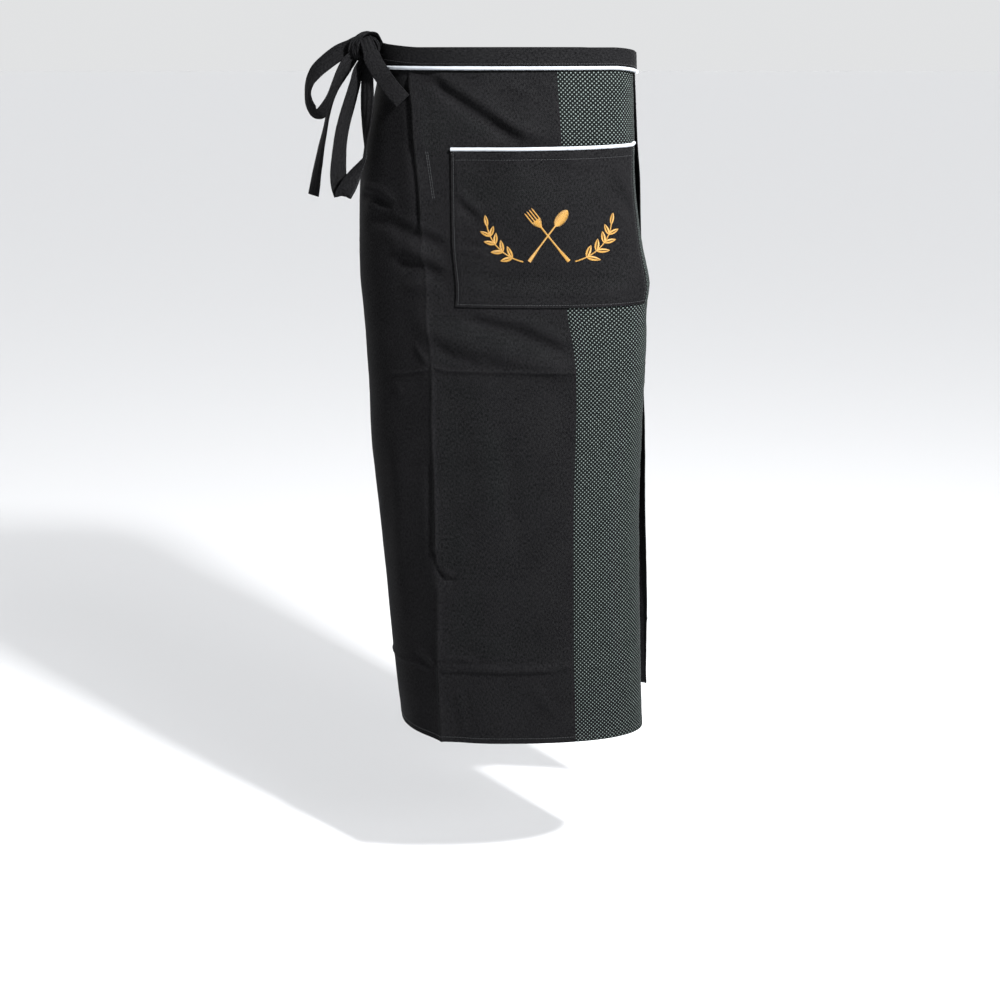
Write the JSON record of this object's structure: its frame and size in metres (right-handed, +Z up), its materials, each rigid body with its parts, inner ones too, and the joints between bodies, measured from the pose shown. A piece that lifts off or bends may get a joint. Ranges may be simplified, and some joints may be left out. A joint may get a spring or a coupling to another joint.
{
  "type": "bistro apron",
  "caption": "Long waist apron of dark twill, worn wrapped round the hips, with a piped waistband and patch pocket, a dotted side strip, an open side slit and ties knotted in a bow at the hip.",
  "frame": {"origin": "centre of the waist hollow at the middle of the waistband's height, where the apron sits on the wearer", "axes": "+Z up along the wearer, -Y towards the front with the pocket, +X towards the dotted strip and the slit"},
  "size_m": [0.4473, 0.2568, 0.8939],
  "materials": {
    "black_twill": "matt black cotton and polyester twill",
    "dotted_twill": "black twill woven with small pale grey-green dots",
    "tie_twill": "folded and stitched black twill tape",
    "white_piping": "white corded piping, satin weave",
    "gold_thread": "gold rayon embroidery thread in satin stitch",
    "grey_thread": "dark grey sewing thread"
  },
  "bodies": {
    "root": {"main_panel": "black_twill", "dotted_panel": "dotted_twill", "waistband": "black_twill", "waist_piping": "white_piping", "pocket": "black_twill", "pocket_piping": "white_piping", "front_tie": "tie_twill", "back_tie": "tie_twill", "knot": "tie_twill", "short_loop": "tie_twill", "long_loop": "tie_twill", "hanging_tail": "tie_twill", "front_tail": "tie_twill"}
  },
  "joints": []
}
